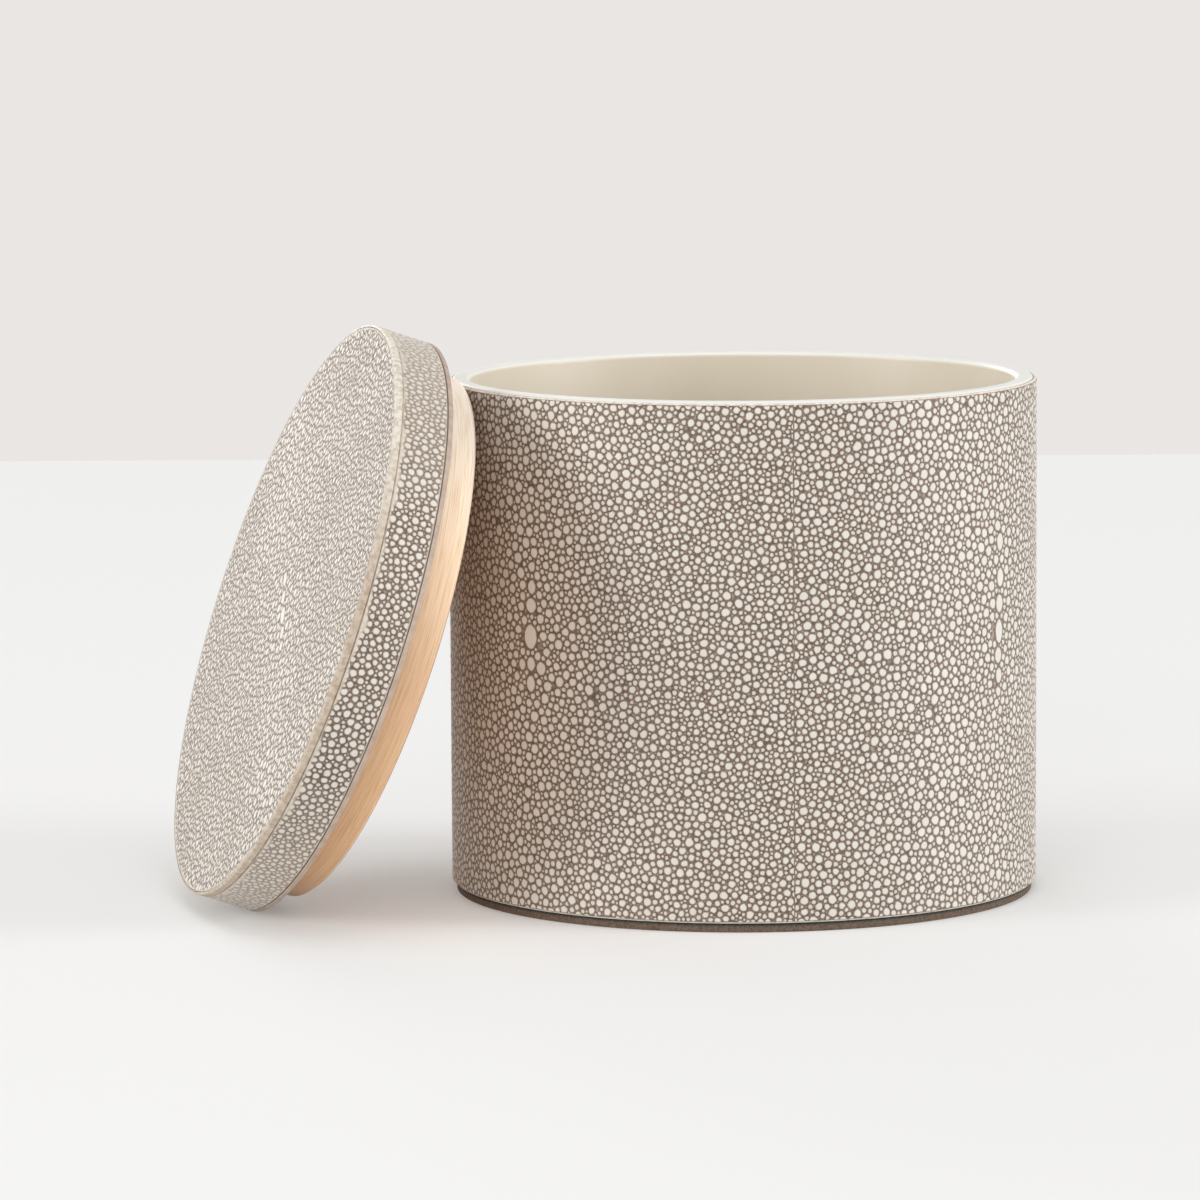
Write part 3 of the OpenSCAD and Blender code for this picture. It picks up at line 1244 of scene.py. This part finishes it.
def birch_end():
    n = Nodes("birch_end")
    ground = n.mix(n.noise(40, 2), rgb(230, 174, 118), rgb(238, 192, 140))
    grain = n.make("ShaderNodeMapping", {"Vector": n.in_lid(), "Scale": (0.05, 1, 1)}).outputs[0]
    return birch(n, grain, 2600, 160, ground)


def dark_edge():
    n = Nodes("plug_dark_edge")
    shade = n.ramp(n.noise(600, 3), (0.3, rgb(104, 72, 50)), (0.7, rgb(150, 112, 82)))
    return n.finish(shade, 0.6)


# Stage

def link(thing, name):
    made = bpy.data.objects.new(name, thing)
    bpy.context.scene.collection.objects.link(made)
    return made


def make_camera():
    data = bpy.data.cameras.new("camera")
    data.lens = CAMERA_LENS_MM
    data.sensor_width = 36
    data.clip_start = 0.05
    data.clip_end = 60
    ahead = Vector((0, math.cos(CAMERA_PITCH), -math.sin(CAMERA_PITCH)))
    level = Vector((0, math.sin(CAMERA_PITCH), math.cos(CAMERA_PITCH)))
    right = Vector((1, 0, 0)) * math.cos(CAMERA_ROLL) + level * math.sin(CAMERA_ROLL)
    turn = Matrix((right, right.cross(ahead), -ahead)).transposed()
    camera = link(data, "camera")
    camera.matrix_world = Matrix.Translation(CAMERA_AT) @ turn.to_4x4()
    bpy.context.scene.camera = camera


def make_floor():
    """A pale, faintly lit floor that ends where the backdrop starts."""
    n = Nodes("floor")
    shade = n.mix(n.noise(3, 2), rgb(239, 239, 239), rgb(241, 241, 241))
    n.finish(shade, 0.9, 0.0)
    glow = n.make("ShaderNodeEmission", {"Color": rgb(243, 243, 242)})
    seen = n.math("MULTIPLY", n.make("ShaderNodeLightPath").outputs["Is Camera Ray"], FLOOR_GLOW)
    both = n.make("ShaderNodeMixShader", {0: seen, 1: n.shader.outputs[0], 2: glow.outputs[0]})
    n.put(n.tree.nodes["Material Output"], "Surface", both.outputs[0])
    mesh = bpy.data.meshes.new("floor")
    x = FLOOR_REACH
    corners = [(-x, -x, 0), (x, -x, 0), (x, FLOOR_BACK, 0), (-x, FLOOR_BACK, 0)]
    mesh.from_pydata(corners, [], [(0, 1, 2, 3)])
    mesh.materials.append(n.material)
    link(mesh, "floor")


def make_world():
    """Even light, and the plain backdrop that is seen behind the floor."""
    world = bpy.data.worlds.new("studio")
    bpy.context.scene.world = world
    world.use_nodes = True
    tree = world.node_tree
    tree.nodes.clear()
    light = tree.nodes.new("ShaderNodeBackground")
    light.inputs["Color"].default_value = (1.0, 0.99, 0.975, 1)
    light.inputs["Strength"].default_value = WORLD_LIGHT
    wall = tree.nodes.new("ShaderNodeBackground")
    wall.inputs["Color"].default_value = rgb(234, 230, 228)
    path = tree.nodes.new("ShaderNodeLightPath")
    seen = path.outputs["Is Camera Ray"]
    for name in ("Is Glossy Ray", "Is Transmission Ray"):
        add = tree.nodes.new("ShaderNodeMath")
        add.operation = "ADD"
        add.use_clamp = True
        tree.links.new(seen, add.inputs[0])
        tree.links.new(path.outputs[name], add.inputs[1])
        seen = add.outputs[0]
    mix = tree.nodes.new("ShaderNodeMixShader")
    tree.links.new(seen, mix.inputs[0])
    tree.links.new(light.outputs[0], mix.inputs[1])
    tree.links.new(wall.outputs[0], mix.inputs[2])
    out = tree.nodes.new("ShaderNodeOutputWorld")
    tree.links.new(mix.outputs[0], out.inputs["Surface"])


def make_lamp(name, at, size, power, colour):
    """A soft square lamp at a place in metres, turned to the middle of the object."""
    data = bpy.data.lights.new(name, "AREA")
    data.size = size
    data.energy = power
    data.color = colour
    lamp = link(data, name)
    lamp.visible_camera = False
    aim = Vector(AIM) - Vector(at)
    lamp.matrix_world = Matrix.Translation(at) @ aim.to_track_quat("-Z", "Y").to_matrix().to_4x4()


def make_canister(leather):
    outside = ivory_lacquer("ivory_lacquer", rgb(225, 226, 220), rgb(230, 231, 226))
    # The inside is the same ivory lacquer painted darker and warmer: painted shade inside the canister,
    # on its bore and floor
    inside = ivory_lacquer("ivory_lacquer_inside_shaded", rgb(216, 207, 190), rgb(222, 214, 198))
    wall_tube([outside, inside])
    floor_board([inside])
    base_pad([dark_felt()])
    for panel in PANELS:
        side_panel(*panel, leather)


def make_lid(leather):
    paint = painted_edge()
    lid_board([paint])
    lid_disc(leather[:1])
    lid_band([leather[0], paint])
    lid_lining([lining()])
    lid_plug([birch_side(), birch_end(), dark_edge()])


leather = [shagreen(), cut_edge()]
make_canister(leather)
make_lid(leather)
make_camera()
make_floor()
make_world()
for lamp in LAMPS:
    make_lamp(*lamp)

bpy.context.scene.view_settings.view_transform = "Standard"
